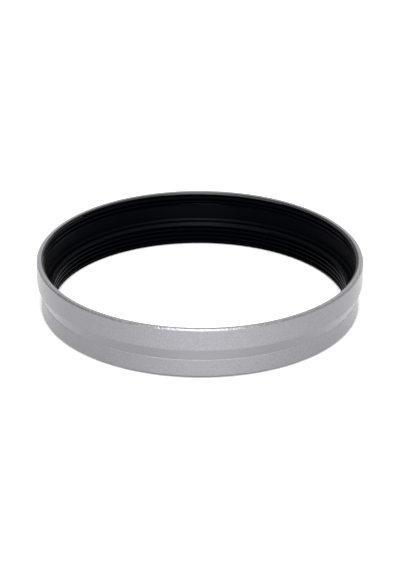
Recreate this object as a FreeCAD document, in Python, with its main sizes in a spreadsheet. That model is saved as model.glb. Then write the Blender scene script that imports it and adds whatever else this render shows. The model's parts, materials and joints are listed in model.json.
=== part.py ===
"""Lens adapter ring: one turned aluminium ring with a female thread at each end.

Millimetres, +Z along the optical axis. The origin is the centre of the rear face, which the ring
stands on. The wider front thread opens upwards at the rim, and the rear thread opens downwards.
Both threads are fine, so each is a plain wall at the thread's crests, its minor diameter. The front
wall runs on below its thread, smooth, down to the ledge.
"""
import FreeCAD, Part
import Sketcher
import os

NODE = "adapter_ring"
TOLERANCE = 1e-4

# Driving sizes in millimetres
SIZES = {
    "rear_thread_diameter": 49.0,  # nominal size of the rear thread
    "thread_step": 3.0,            # how much wider the front thread is, on the diameter
    "thread_pitch": 0.75,          # of both threads
    "rim_wall": 0.8,               # from the front thread's roots to the outer wall
    "outer_step": 0.7,             # how far the rear outer wall stands in from the front one
    "ledge_height": 3.9,           # from the rear face up to the ledge between the threads
    "front_bore_depth": 5.0,       # from the ledge up to the rim
    "taper_foot_height": 3.3,      # where the outer taper starts
    "taper_rise": 1.9,             # height of the outer taper
    "lead_in_clearance": 0.05,     # how far a lead-in opens past the thread's roots
    "rear_lead_in": 0.32,          # chamfer at the rear thread's mouth
    "rim_chamfer": 0.25,           # outer edge of the rim
    "foot_chamfer": 0.4,           # outer edge of the rear face
    "ledge_fillet": 0.3,           # corner between the ledge and the front bore
}

# Height of an internal metric thread from crest to root: five eighths of its sharp triangle
THREAD_HEIGHT = "(5 / 8 * sqrt(3) / 2 * sizes.thread_pitch)"
LEAD_IN = f"{THREAD_HEIGHT} + sizes.lead_in_clearance"

REAR_ROOT = "sizes.rear_thread_diameter / 2"
FRONT_ROOT = "(sizes.rear_thread_diameter + sizes.thread_step) / 2"

RADII = {
    "rear_crest": f"{REAR_ROOT} - {THREAD_HEIGHT}",
    "rear_outer": f"{FRONT_ROOT} + sizes.rim_wall - sizes.outer_step",
    "front_outer": f"{FRONT_ROOT} + sizes.rim_wall",
    "front_crest": f"{FRONT_ROOT} - {THREAD_HEIGHT}",
}

HEIGHTS = {
    "rear_face": "0",
    "taper_foot": "sizes.taper_foot_height",
    "taper_top": "sizes.taper_foot_height + sizes.taper_rise",
    "rim": "sizes.ledge_height + sizes.front_bore_depth",
    "ledge": "sizes.ledge_height",
}

# The turned section, anticlockwise from the rear thread's mouth, as a radius and a height each
SECTION = [
    ("rear_crest", "rear_face"),
    ("rear_outer", "rear_face"),
    ("rear_outer", "taper_foot"),
    ("front_outer", "taper_top"),
    ("front_outer", "rim"),
    ("front_crest", "rim"),
    ("front_crest", "ledge"),
    ("rear_crest", "ledge"),
]

# Edges broken after turning: feature, name, corner of the section and size
BROKEN_EDGES = [
    ("Chamfer", "rim_chamfer", "front_outer", "rim", "sizes.rim_chamfer"),
    ("Chamfer", "front_lead_in", "front_crest", "rim", LEAD_IN),
    ("Chamfer", "ledge_lead_in", "rear_crest", "ledge", LEAD_IN),
    ("Chamfer", "rear_lead_in", "rear_crest", "rear_face", "sizes.rear_lead_in"),
    ("Chamfer", "foot_chamfer", "rear_outer", "rear_face", "sizes.foot_chamfer"),
    ("Fillet", "ledge_fillet", "front_crest", "ledge", "sizes.ledge_fillet"),
]
SIZE_PROPERTY = {"Chamfer": "Size", "Fillet": "Radius"}


def add_sheet(doc):
    """Put each driving size in a cell of its own, with its name as the alias."""
    sheet = doc.addObject("Spreadsheet::Sheet", "sizes")
    for row, (name, size) in enumerate(SIZES.items(), start=1):
        sheet.set(f"A{row}", name)
        sheet.set(f"B{row}", str(size))
        sheet.setAlias(f"B{row}", name)
    doc.recompute()


def value(body, expression):
    """What an expression on the sheet comes to, in millimetres."""
    result = body.evalExpression(expression)
    return float(getattr(result, "Value", result))


def corner_position(body, corner):
    """Radius and height of a corner of the section."""
    radius, height = corner
    return value(body, RADII[radius]), value(body, HEIGHTS[height])


def add_dimension(sketch, kind, line, name, expression):
    """Dimension a line's start from the origin, bound to the sheet."""
    size = value(sketch, expression)
    index = sketch.addConstraint(Sketcher.Constraint(kind, -1, 1, line, 1, size))
    sketch.renameConstraint(index, name)
    sketch.setExpression(f"Constraints.{name}", expression)


def add_section(body):
    """Sketch the half section on the XZ plane, with each radius and height dimensioned once."""
    sketch = body.newObject("Sketcher::SketchObject", "section")
    planes = {feature.Role: feature for feature in body.Origin.OriginFeatures}
    sketch.AttachmentSupport = [(planes["XZ_Plane"], "")]
    sketch.MapMode = "FlatFace"

    following = SECTION[1:] + SECTION[:1]
    for start, end in zip(SECTION, following):
        start_point = FreeCAD.Vector(*corner_position(body, start), 0)
        end_point = FreeCAD.Vector(*corner_position(body, end), 0)
        sketch.addGeometry(Part.LineSegment(start_point, end_point), False)
    for line in range(len(SECTION)):
        next_line = (line + 1) % len(SECTION)
        sketch.addConstraint(Sketcher.Constraint("Coincident", line, 2, next_line, 1))

    dimensioned = {"rear_face"}
    sketch.addConstraint(Sketcher.Constraint("PointOnObject", 0, 1, -1))
    for line, (start, end) in enumerate(zip(SECTION, following)):
        radius, height = start
        if radius == end[0]:
            sketch.addConstraint(Sketcher.Constraint("Vertical", line))
        if height == end[1]:
            sketch.addConstraint(Sketcher.Constraint("Horizontal", line))
        if radius not in dimensioned:
            add_dimension(sketch, "DistanceX", line, f"{radius}_radius", RADII[radius])
            dimensioned.add(radius)
        if height not in dimensioned:
            add_dimension(sketch, "DistanceY", line, f"{height}_height", HEIGHTS[height])
            dimensioned.add(height)
    return sketch


def turn_blank(body, sketch):
    """Turn the section once round the optical axis."""
    blank = body.newObject("PartDesign::Revolution", "turned_blank")
    blank.Profile = sketch
    blank.ReferenceAxis = (sketch, ["V_Axis"])
    blank.Angle = 360
    return blank


def edge_at(shape, radius, height):
    """Name of the circular edge with this radius at this height."""
    for number, edge in enumerate(shape.Edges, start=1):
        circle = edge.Curve
        if not isinstance(circle, Part.Circle):
            continue
        if abs(circle.Radius - radius) < TOLERANCE and abs(circle.Center.z - height) < TOLERANCE:
            return f"Edge{number}"
    raise ValueError(f"no edge of radius {radius} at height {height}")


def break_edge(body, base, kind, name, corner, size):
    """Chamfer or fillet the edge that a corner of the section sweeps."""
    feature = body.newObject(f"PartDesign::{kind}", name)
    feature.Base = (base, [edge_at(base.Shape, *corner_position(body, corner))])
    feature.setExpression(SIZE_PROPERTY[kind], size)
    return feature


def make_ring(doc):
    """The whole ring: turned section, then its chamfers and fillet."""
    body = doc.addObject("PartDesign::Body", NODE)
    body.Label = NODE
    sketch = add_section(body)
    feature = turn_blank(body, sketch)
    doc.recompute()
    for kind, name, radius, height, size in BROKEN_EDGES:
        feature = break_edge(body, feature, kind, name, (radius, height), size)
        doc.recompute()
    body.Tip = feature
    doc.recompute()
    return body


def check(doc, body):
    """Stop if any object failed, or if the ring isn't one sound solid."""
    for item in doc.Objects:
        if {"Invalid", "Error"} & set(item.State):
            raise RuntimeError(f"{item.Name} failed: {item.State}")
    shape = body.Shape
    if shape.isNull() or not shape.isValid() or len(shape.Solids) != 1:
        raise RuntimeError(f"{body.Label} isn't one valid solid")


def main():
    doc = FreeCAD.newDocument("lens_adapter_ring")
    add_sheet(doc)
    ring = make_ring(doc)
    check(doc, ring)
    os.makedirs("parts", exist_ok=True)
    ring.Shape.exportStep(f"parts/{NODE}.step")
    print(f"{NODE}: {ring.Shape.Volume:.1f} mm3, {len(ring.Shape.Faces)} faces, {ring.Shape.BoundBox}")


main()
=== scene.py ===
import json
import math

import bmesh
import bpy
from mathutils import Matrix, Vector


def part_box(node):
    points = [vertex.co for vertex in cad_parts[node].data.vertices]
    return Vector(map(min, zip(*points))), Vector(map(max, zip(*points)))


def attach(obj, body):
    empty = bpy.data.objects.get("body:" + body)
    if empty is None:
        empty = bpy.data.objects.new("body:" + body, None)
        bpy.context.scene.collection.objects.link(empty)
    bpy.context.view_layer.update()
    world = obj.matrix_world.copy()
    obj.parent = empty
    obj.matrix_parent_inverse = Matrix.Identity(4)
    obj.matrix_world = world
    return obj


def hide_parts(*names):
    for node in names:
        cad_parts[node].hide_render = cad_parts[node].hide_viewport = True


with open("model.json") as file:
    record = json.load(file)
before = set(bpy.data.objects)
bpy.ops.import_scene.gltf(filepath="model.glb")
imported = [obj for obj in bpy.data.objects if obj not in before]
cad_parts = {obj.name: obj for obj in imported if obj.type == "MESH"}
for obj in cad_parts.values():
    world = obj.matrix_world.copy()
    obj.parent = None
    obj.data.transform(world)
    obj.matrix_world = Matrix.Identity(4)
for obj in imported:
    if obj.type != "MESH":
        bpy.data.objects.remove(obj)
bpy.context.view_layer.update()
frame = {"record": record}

# Lens adapter ring: one turned aluminium ring, satin silver outside and black inside, with a fine
# right-hand thread at each end. Sizes are in millimetres until they go into a mesh, and angles and
# slopes are in degrees.
MM = 0.001
NODE = "adapter_ring"

# Sizes that the frame gives
mounts = {mount["name"]: mount for mount in frame["record"]["mounts"]}
top_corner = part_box(NODE)[1]
RIM_RADIUS = top_corner.x / MM
RIM_HEIGHT = top_corner.z / MM
FRONT_CREST = mounts["front_thread"]["dims"]["r_mm"]
REAR_CREST = mounts["rear_thread"]["dims"]["r_mm"]

# Turned section
OUTER_STEP = 0.7
FOOT_RADIUS = RIM_RADIUS - OUTER_STEP
TAPER_FOOT = 3.3
TAPER_TOP = 5.2
LEDGE = 3.9
LEAD_IN = 0.456
REAR_LEAD_IN = 0.32
RIM_CHAMFER = 0.25
FOOT_CHAMFER = 0.4

# Edges left by the turning tool. The taper runs on past the lower wall, which leaves a fine lip that
# faces up.
LIP = 0.04
LIP_TOP = TAPER_FOOT - LIP * (TAPER_TOP - TAPER_FOOT) / OUTER_STEP
EDGE_BREAK = 0.03
TAPER_ROUNDING = 0.12
LEDGE_FILLET = 0.3

# Threads: 60 degree metric form, right-hand. Each is set round the ring by the height of one of its
# crests at the back, and the front one ends above a smooth wall.
PITCH = 0.75
HEIGHT_IN_PITCHES = 0.5413
THREAD_HEIGHT = HEIGHT_IN_PITCHES * PITCH
FRONT_CREST_AT_BACK = 8.05
REAR_CREST_AT_BACK = 2.8
FRONT_THREAD_FOOT = 6.6
# How far inside a lead-in's mouth the threaded wall starts
WALL_START = 0.045

# How the mesh is divided, joined and shaded
SEGMENTS = 288
ROUNDING_STEPS = 4
FLANK_CUTS = 2
ON_CORNER = 0.005
SAME_POINT = 0.002
SHARP_FROM = 35

# Slopes that tell faces apart, where 0 is upright and 90 level. The smooth wall and the ledge are true
# within a few degrees. Chamfers and the flanks of the threads slope more. Level faces take in a part of
# their broken edges, a larger one where they look inwards.
TRUE_WITHIN = 10
SLOPED_FROM = 36.9
LEVEL_FROM_INSIDE = 66.4
LEVEL_FROM_OUTSIDE = 72.5
# How far below the ledge a face still counts as the ledge
LEDGE_MARGIN = 0.01


def linear(colour):
    """Linear RGBA from an sRGB hex value such as "B8B8BD"."""
    channels = [int(colour[i:i + 2], 16) / 255 for i in (0, 2, 4)]
    return [c / 12.92 if c <= 0.04045 else ((c + 0.055) / 1.055) ** 2.4 for c in channels] + [1.0]


def add_node(tree, kind, sockets=None, links=None, **settings):
    """Add a node, set its properties and sockets, and link what feeds it."""
    node = tree.nodes.new(kind)
    for name, setting in settings.items():
        setattr(node, name, setting)
    for name, number in (sockets or {}).items():
        node.inputs[name].default_value = number
    for name, source in (links or {}).items():
        tree.links.new(source, node.inputs[name])
    return node


def start_material(name, **sockets):
    """A new material with its main shader's sockets set, its node tree and that shader."""
    material = bpy.data.materials.new(name)
    material.use_nodes = True
    shader = material.node_tree.nodes["Principled BSDF"]
    for socket, number in sockets.items():
        shader.inputs[socket.replace("_", " ")].default_value = number
    return material, material.node_tree, shader


def add_spots(tree, shader, size, tones, spread, strength, depth):
    """Spots of a size that vary between a dark and a light tone and dent the surface to a depth."""
    place = add_node(tree, "ShaderNodeTexCoord").outputs["Object"]
    spots = add_node(tree, "ShaderNodeTexNoise", {"Scale": 1 / (size * MM), "Detail": 2.0},
                     {"Vector": place}).outputs["Fac"]
    ramp = add_node(tree, "ShaderNodeValToRGB", links={"Fac": spots})
    positions = (0.5 - spread, 0.5 + spread)
    for stop, position, tone in zip(ramp.color_ramp.elements, positions, tones):
        stop.position = position
        stop.color = linear(tone)
    bump = add_node(tree, "ShaderNodeBump", {"Strength": strength, "Distance": depth * MM},
                    {"Height": spots})
    tree.links.new(ramp.outputs["Color"], shader.inputs["Base Color"])
    tree.links.new(bump.outputs["Normal"], shader.inputs["Normal"])


def add_turning_lines(tree, shader, spacing, strength, depth):
    """Fine lines round the optical axis, as a turning tool leaves them, with the sheen drawn out."""
    # At a scale of 1, the bands of this texture repeat every twentieth of tau
    scale = math.tau / 20 / (spacing * MM)
    stretch = 0.8
    quarter_turn = 0.25
    place = add_node(tree, "ShaderNodeTexCoord").outputs["Object"]
    lines = add_node(tree, "ShaderNodeTexWave", {"Scale": scale, "Distortion": 0.5}, {"Vector": place},
                     wave_type="BANDS", bands_direction="Z")
    bump = add_node(tree, "ShaderNodeBump", {"Strength": strength, "Distance": depth * MM},
                    {"Height": lines.outputs["Fac"]})
    along = add_node(tree, "ShaderNodeTangent", direction_type="RADIAL", axis="Z")
    shader.inputs["Anisotropic"].default_value = stretch
    shader.inputs["Anisotropic Rotation"].default_value = quarter_turn
    tree.links.new(bump.outputs["Normal"], shader.inputs["Normal"])
    tree.links.new(along.outputs["Tangent"], shader.inputs["Tangent"])


def blasted_silver(name, dark, light):
    """Bead-blasted aluminium, silver anodised: a soft grey sheen with fine grains under a clear skin.

    The grains are drawn coarser than beads leave them, so that they show in the render.
    """
    material, tree, shader = start_material(name, Metallic=1.0, Roughness=0.6, Coat_Weight=1.0,
                                            Coat_Roughness=0.19)
    add_spots(tree, shader, size=0.16, tones=(dark, light), spread=0.2, strength=0.25, depth=0.012)
    return material


def fine_turned_silver():
    """Face turned fine and silver anodised: no grains, and more contrast round the ring than blasting.

    The turning lines are drawn coarser than a fine cut leaves them, to be wider than a pixel.
    """
    material, tree, shader = start_material("fine_turned_silver_aluminium", Metallic=1.0, Roughness=0.45,
                                            Coat_Weight=1.0, Coat_Roughness=0.19)
    shader.inputs["Base Color"].default_value = linear("97979C")
    add_turning_lines(tree, shader, spacing=0.3, strength=0.2, depth=0.01)
    return material


def turned_silver(name, dark, light, roughness):
    """Edge turned after blasting: smoother but uneven, so it mirrors the lamps in a broken line.

    The dents are drawn coarser and deeper than real ones, so that they show in the render.
    """
    material, tree, shader = start_material(name, Metallic=1.0, Roughness=roughness)
    add_spots(tree, shader, size=0.3, tones=(dark, light), spread=0.15, strength=1.0, depth=0.075)
    return material


def black_anodise(name, colour, roughness, gloss):
    """Black anodised aluminium: deep blue-black, with a sheen that fine turning lines draw out."""
    material, tree, shader = start_material(name, Metallic=0.0, Roughness=roughness,
                                            Specular_IOR_Level=gloss)
    shader.inputs["Base Color"].default_value = linear(colour)
    add_turning_lines(tree, shader, spacing=0.12, strength=0.08, depth=0.005)
    return material


def outer_profile():
    """Corners of the outside as radius, height and rounding, from the rear mouth to the front one."""
    rear_mouth = REAR_CREST + REAR_LEAD_IN
    front_mouth = FRONT_CREST + LEAD_IN
    return [
        (rear_mouth - WALL_START, WALL_START, 0),
        (rear_mouth, 0, EDGE_BREAK),
        (FOOT_RADIUS - FOOT_CHAMFER, 0, EDGE_BREAK),
        (FOOT_RADIUS, FOOT_CHAMFER, EDGE_BREAK),
        (FOOT_RADIUS, LIP_TOP - LIP, 0),
        (FOOT_RADIUS - LIP, LIP_TOP, 0),
        (RIM_RADIUS, TAPER_TOP, TAPER_ROUNDING),
        (RIM_RADIUS, RIM_HEIGHT - RIM_CHAMFER, EDGE_BREAK),
        (RIM_RADIUS - RIM_CHAMFER, RIM_HEIGHT, EDGE_BREAK),
        (front_mouth, RIM_HEIGHT, EDGE_BREAK),
        (front_mouth - WALL_START, RIM_HEIGHT - WALL_START, 0),
    ]


def ledge_profile():
    """Corners of the smooth wall below the front thread and of the ledge under it."""
    ledge_mouth = REAR_CREST + LEAD_IN
    return [
        (FRONT_CREST, FRONT_THREAD_FOOT, 0),
        (FRONT_CREST, LEDGE, LEDGE_FILLET),
        (ledge_mouth, LEDGE, EDGE_BREAK),
        (ledge_mouth - WALL_START, LEDGE - WALL_START, 0),
    ]


def add_wire(bm, points):
    """An open wire in the XZ plane through radii and heights."""
    verts = [bm.verts.new((radius * MM, 0, height * MM)) for radius, height in points]
    for pair in zip(verts, verts[1:]):
        bm.edges.new(pair)


def merge(bm):
    """Close the seams of a mesh and turn its faces the same way."""
    bmesh.ops.remove_doubles(bm, verts=bm.verts, dist=SAME_POINT * MM)
    bmesh.ops.recalc_face_normals(bm, faces=bm.faces)


def turn(bm, lift=0.0):
    """Spin all wires once round the optical axis, rising by a lift."""
    bmesh.ops.spin(bm, geom=bm.verts[:] + bm.edges[:], cent=(0, 0, 0), axis=(0, 0, 1), angle=math.tau,
                   steps=SEGMENTS, dvec=(0, 0, lift / SEGMENTS * MM), use_merge=lift == 0)
    merge(bm)


def is_at(edge, radius, height):
    """Whether an edge lies on the circle that a corner sweeps."""
    return all(abs(vert.co.xy.length / MM - radius) < ON_CORNER
               and abs(vert.co.z / MM - height) < ON_CORNER for vert in edge.verts)


def turned_surface(corners):
    """Mesh of a profile turned round the optical axis, with its corners rounded."""
    bm = bmesh.new()
    add_wire(bm, [(radius, height) for radius, height, _ in corners])
    turn(bm)
    for radius, height, rounding in corners:
        if rounding:
            circle = [edge for edge in bm.edges if is_at(edge, radius, height)]
            bmesh.ops.bevel(bm, geom=circle, offset=rounding * MM, affect="EDGES", segments=ROUNDING_STEPS,
                            profile=0.5, material=-1)
    return bm


def threaded_surface(crest, crest_at_back, low_end, high_end):
    """Mesh of a right-hand thread between two circles, each a radius and a height.

    Towards each circle the teeth run out at 45 degrees, into the lead-in or the smooth wall there.
    """
    bm = bmesh.new()
    root = crest + THREAD_HEIGHT
    # Flats a quarter of the pitch wide on the crests and an eighth wide at the roots
    tooth = [(crest, -1 / 8), (crest, 1 / 8), (root, 7 / 16), (root, 9 / 16)]
    crest_at_side = crest_at_back - PITCH / 4
    first = math.floor((low_end[1] - crest_at_side) / PITCH) - 1
    last = math.ceil((high_end[1] - crest_at_side) / PITCH) + 1
    add_wire(bm, [(radius, crest_at_side + (turn_number + share) * PITCH)
                  for turn_number in range(first, last) for radius, share in tooth])
    flanks = [edge for edge in bm.edges if edge.verts[0].co.x != edge.verts[1].co.x]
    bmesh.ops.subdivide_edges(bm, edges=flanks, cuts=FLANK_CUTS)
    turn(bm, lift=PITCH)
    for vert in bm.verts:
        radius = vert.co.xy.length / MM
        height = min(max(vert.co.z / MM, low_end[1]), high_end[1])
        for end_radius, end_height in (low_end, high_end):
            reach = abs(height - end_height)
            radius = min(max(radius, end_radius - reach), end_radius + reach)
        vert.co.xy = vert.co.xy.normalized() * radius * MM
        vert.co.z = height * MM
    return bm


def finish_mesh(surfaces, name):
    """Join surfaces at their seams and make an object."""
    bm = bmesh.new()
    mesh = bpy.data.meshes.new(name)
    for surface in surfaces:
        surface.to_mesh(mesh)
        surface.free()
        bm.from_mesh(mesh)
    merge(bm)
    bm.to_mesh(mesh)
    bm.free()
    piece = bpy.data.objects.new(name, mesh)
    bpy.context.collection.objects.link(piece)
    return piece


def black_finish_of(height, slope):
    """Which black finish a face inside the ring has."""
    if height > RIM_HEIGHT - LEAD_IN and abs(slope) > SLOPED_FROM:
        return "lead_in"
    if LEDGE - LEDGE_MARGIN < height < FRONT_THREAD_FOOT:
        return "smooth_wall" if min(abs(slope), 90 - slope) < TRUE_WITHIN else "ledge_edge"
    if LEDGE - LEAD_IN < height < LEDGE and slope > SLOPED_FROM:
        return "ledge_edge"
    return "thread"


def finish_of(face):
    """Which finish a face has, from where it lies and where it looks."""
    radius = face.center.xy.length / MM
    height = face.center.z / MM
    slope = math.degrees(math.atan2(face.normal.z, face.normal.xy.length))
    looks_in = face.normal.xy.dot(face.center.xy) < 0
    is_level = abs(slope) > (LEVEL_FROM_INSIDE if looks_in else LEVEL_FROM_OUTSIDE)
    is_ledge = is_level and slope > 0 and radius < FRONT_CREST
    if is_ledge or looks_in and not is_level:
        return black_finish_of(height, slope)
    if is_level:
        return "rim_face" if slope > 0 else "lower_wall"
    if slope > SLOPED_FROM:
        return "rim_edge" if height > TAPER_TOP else "lip"
    if slope < -SLOPED_FROM:
        return "foot_edge"
    if height > TAPER_TOP:
        return "upper_wall"
    return "taper" if height > TAPER_FOOT else "lower_wall"


def paint_faces(piece):
    """Give each face its finish.

    Outside, the walls and the rim face are blasted, the taper is turned fine and the edges are uneven.
    The rim face is painted lighter, a painted highlight, and the lower wall and the foot edge darker,
    painted shade. The lip is painted light, a painted highlight along it. Inside, all is black: matte
    on the smooth wall and the ledge, with more sheen on the threads and on the edges, and the lead-in
    a lighter grey, a painted sheen.
    """
    black = "000105"
    finishes = {
        "upper_wall": blasted_silver("blasted_silver_aluminium", "929297", "A5A5AA"),
        # Painted shade: the lower wall is the same blasted finish with darker tones, for the shade near
        # the floor
        "lower_wall": blasted_silver("blasted_dull_aluminium", "8E8E93", "A1A1A6"),
        # Painted highlight: the rim face is the same blasted finish with lighter tones, for the light it
        # catches
        "rim_face": blasted_silver("blasted_bright_aluminium", "A4A4A9", "B7B7BC"),
        "taper": fine_turned_silver(),
        # Painted highlight: the lip is given light tones for the bright line along it
        "lip": turned_silver("worn_silver_aluminium", "BCBCC0", "D6D6DA", roughness=0.6),
        "rim_edge": turned_silver("turned_silver_aluminium", "A8A8AD", "CBCBD0", roughness=0.3),
        # Painted shade: the foot edge is given dark tones for the shade where it meets the paper
        "foot_edge": turned_silver("dull_turned_aluminium", "848489", "8E8E93", roughness=0.3),
        "smooth_wall": black_anodise("matte_black_anodised_aluminium", black, roughness=0.45, gloss=0.035),
        "thread": black_anodise("cut_black_anodised_aluminium", black, roughness=0.22, gloss=0.04),
        "ledge_edge": black_anodise("satin_black_anodised_aluminium", black, roughness=0.5, gloss=0.12),
        # Painted sheen: the lead-in's base is a lighter grey than the other blacks, on top of its real
        # gloss
        "lead_in": black_anodise("polished_black_anodised_aluminium", "202126", roughness=0.5, gloss=1.0),
    }
    for material in finishes.values():
        piece.data.materials.append(material)
    places = list(finishes)
    for face in piece.data.polygons:
        face.material_index = places.index(finish_of(face))


def make_ring():
    """The ring with both threads, in place of the plain solid."""
    outside, ledge = outer_profile(), ledge_profile()
    ends = [corners[end][:2] for corners in (outside, ledge) for end in (0, -1)]
    rear_mouth, front_mouth, front_foot, ledge_mouth = ends
    ring = finish_mesh([
        turned_surface(outside),
        turned_surface(ledge),
        threaded_surface(FRONT_CREST, FRONT_CREST_AT_BACK, front_foot, front_mouth),
        threaded_surface(REAR_CREST, REAR_CREST_AT_BACK, rear_mouth, ledge_mouth),
    ], "ring")
    paint_faces(ring)
    ring.data.shade_smooth()
    ring.data.set_sharp_from_angle(angle=math.radians(SHARP_FROM))
    ring.modifiers.new("flat_walls", "WEIGHTED_NORMAL").keep_sharp = True
    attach(ring, "root")
    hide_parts(NODE)


def contact_shade(tree, lean, reach, darkest, lightest):
    """How open the paper is to soft light, from 0 beside the ring's foot to 1 in the open.

    The light leans from straight above towards the back, or towards the front if the lean is negative.
    """
    angle = math.radians(lean)
    direction = add_node(tree, "ShaderNodeCombineXYZ", {"Y": math.sin(angle), "Z": math.cos(angle)})
    open_above = add_node(tree, "ShaderNodeAmbientOcclusion", {"Distance": reach * MM},
                          {"Normal": direction.outputs["Vector"]}, samples=16)
    shade = add_node(tree, "ShaderNodeMapRange", {"From Min": darkest, "From Max": lightest},
                     {"Value": open_above.outputs["AO"]})
    return shade.outputs["Result"]


def paper_floor():
    """White paper, lifted to white for the eye and less in reflections, with a narrow contact shadow."""
    lift_for_the_eye = 0.75
    lift_in_reflections = 0.25
    middle_to_edge_in_metres = 1.5
    material, tree, shader = start_material("white_paper", Roughness=0.9)
    shader.inputs["Base Color"].default_value = linear("F2F2F2")
    shader.inputs["Emission Color"].default_value = linear("FFFFFF")
    rays = add_node(tree, "ShaderNodeLightPath").outputs
    mirrored = add_node(tree, "ShaderNodeMath", operation="MAXIMUM",
                        links={0: rays["Is Glossy Ray"], 1: rays["Is Transmission Ray"]})
    faint = add_node(tree, "ShaderNodeMath", {1: lift_in_reflections}, {0: mirrored.outputs[0]},
                     operation="MULTIPLY")
    light_from_behind = contact_shade(tree, lean=60, reach=1.2, darkest=0.22, lightest=0.46)
    light_from_the_front = contact_shade(tree, lean=-82, reach=2.0, darkest=0.55, lightest=0.95)
    shade = add_node(tree, "ShaderNodeMath", operation="MULTIPLY",
                     links={0: light_from_behind, 1: light_from_the_front})
    white = add_node(tree, "ShaderNodeMath", {1: lift_for_the_eye}, {0: shade.outputs[0]},
                     operation="MULTIPLY")
    lift = add_node(tree, "ShaderNodeMath", operation="MULTIPLY_ADD",
                    links={0: rays["Is Camera Ray"], 1: white.outputs[0], 2: faint.outputs[0]})
    tree.links.new(lift.outputs[0], shader.inputs["Emission Strength"])
    bm = bmesh.new()
    bmesh.ops.create_grid(bm, x_segments=1, y_segments=1, size=middle_to_edge_in_metres)
    floor = finish_mesh([bm], "floor")
    floor.data.materials.append(material)


def studio_world():
    """Soft light from all round on the ring, and plain white for the eye.

    Low down, the light is weakest near the sides. It grows with the square of the way to the front or
    the back, more to the front, and a little to the right. Higher up it fades into an even light.
    """
    at_the_sides = 0.45
    growth = 0.8
    more_to_the_front = 0.4
    more_to_the_right = 0.082
    overhead = 0.481
    fade_starts_at, fade_ends_at = 0.3, 0.944
    world = bpy.data.worlds.new("studio")
    world.use_nodes = True
    bpy.context.scene.world = world
    tree = world.node_tree
    rays = add_node(tree, "ShaderNodeLightPath").outputs
    direction = add_node(tree, "ShaderNodeTexCoord").outputs["Generated"]
    axes = add_node(tree, "ShaderNodeSeparateXYZ", links={"Vector": direction}).outputs
    slope = add_node(tree, "ShaderNodeMath", {1: growth, 2: -more_to_the_front}, {0: axes["Y"]},
                     operation="MULTIPLY_ADD")
    front_to_back = add_node(tree, "ShaderNodeMath", {2: at_the_sides},
                             {0: axes["Y"], 1: slope.outputs[0]}, operation="MULTIPLY_ADD")
    horizon = add_node(tree, "ShaderNodeMath", {1: more_to_the_right},
                       {0: axes["X"], 2: front_to_back.outputs[0]}, operation="MULTIPLY_ADD")
    light = add_node(tree, "ShaderNodeMapRange",
                     {"From Min": fade_starts_at, "From Max": fade_ends_at, "To Max": overhead},
                     {"Value": axes["Z"], "To Min": horizon.outputs[0]}, interpolation_type="SMOOTHSTEP")
    strength = add_node(tree, "ShaderNodeMath", operation="MAXIMUM",
                        links={0: rays["Is Camera Ray"], 1: light.outputs["Result"]})
    background = tree.nodes["Background"]
    background.inputs["Color"].default_value = linear("FFFFFF")
    tree.links.new(strength.outputs[0], background.inputs["Strength"])


def looking_from(azimuth, elevation):
    """Unit vector from the ring to a viewer, with azimuth 0 at -Y."""
    a, e = math.radians(azimuth), math.radians(elevation)
    return Vector((math.sin(a) * math.cos(e), -math.cos(a) * math.cos(e), math.sin(e)))


def add_softbox(name, azimuth, elevation, width, height, radiance):
    """A lamp that looks at the ring, sized in metres. The camera's azimuth is 0."""
    distance = 0.6
    lamp = bpy.data.lights.new(name, "AREA")
    lamp.shape = "RECTANGLE"
    lamp.size = width
    lamp.size_y = height
    lamp.energy = radiance * math.pi * width * height
    softbox = bpy.data.objects.new(name, lamp)
    softbox.visible_camera = False
    bpy.context.collection.objects.link(softbox)
    away = looking_from(azimuth, elevation)
    softbox.location = away * distance
    softbox.rotation_euler = away.to_track_quat("Z", "Y").to_euler()


def add_camera():
    """The photograph's camera: a long lens from the front, well above the rim."""
    elevation = 25.729
    distance = 539.7
    focal_pixels = 3276.3
    aim_height = 4.4
    image_width, image_height = 400, 570
    ring_x, ring_y = 199.89, 281.54
    roll = 0.22
    data = bpy.data.cameras.new("camera")
    data.lens = focal_pixels / image_height * data.sensor_width
    data.shift_x = (image_width / 2 - ring_x) / image_height
    data.shift_y = (ring_y - image_height / 2) / image_height
    camera = bpy.data.objects.new("camera", data)
    bpy.context.collection.objects.link(camera)
    away = looking_from(0, elevation)
    aim = Vector((0, 0, aim_height))
    camera.location = (aim + away * distance) * MM
    upright = away.to_track_quat("Z", "Y").to_matrix()
    camera.rotation_euler = (upright @ Matrix.Rotation(math.radians(roll), 3, "Z")).to_euler()
    bpy.context.scene.camera = camera


make_ring()
paper_floor()
studio_world()
add_softbox("overhead_softbox", azimuth=0, elevation=63, width=0.194, height=0.194, radiance=7.5)
add_softbox("front_fill", azimuth=4.6, elevation=9, width=0.56, height=0.18, radiance=5.3)
add_softbox("rear_softbox", azimuth=180, elevation=56, width=0.4, height=0.4, radiance=0.7)
add_camera()
bpy.context.scene.view_settings.view_transform = "Standard"
